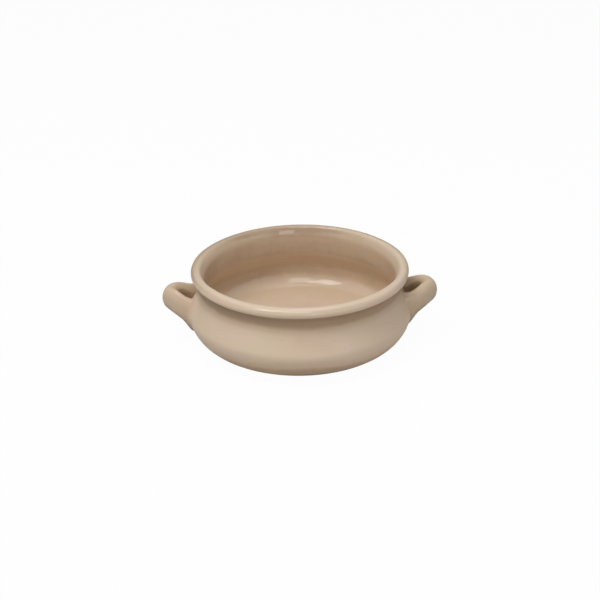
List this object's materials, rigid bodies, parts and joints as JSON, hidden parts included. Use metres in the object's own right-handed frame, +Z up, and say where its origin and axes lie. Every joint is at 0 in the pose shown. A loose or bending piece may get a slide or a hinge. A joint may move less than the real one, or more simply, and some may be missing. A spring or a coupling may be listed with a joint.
{
  "type": "tapas dish",
  "caption": "Small round glazed stoneware tapas dish with a bellied wall, a rolled rim and looped ear handles on opposite sides, for serving hot or cold food.",
  "frame": {"origin": "centre of the foot, on the table", "axes": "+Z up along the axis the bowl was thrown on, +X towards the right handle, -Y towards the viewer"},
  "size_m": [0.1652, 0.1336, 0.0487],
  "materials": {
    "glaze": "glossy beige glaze over stoneware",
    "slip": "fired clay slip under the glaze"
  },
  "bodies": {
    "root": {"bowl": "glaze", "handle_left": "glaze", "handle_right": "glaze", "luting_slip_left_front": "slip", "luting_slip_left_back": "slip", "luting_slip_right_front": "slip", "luting_slip_right_back": "slip"}
  },
  "joints": []
}
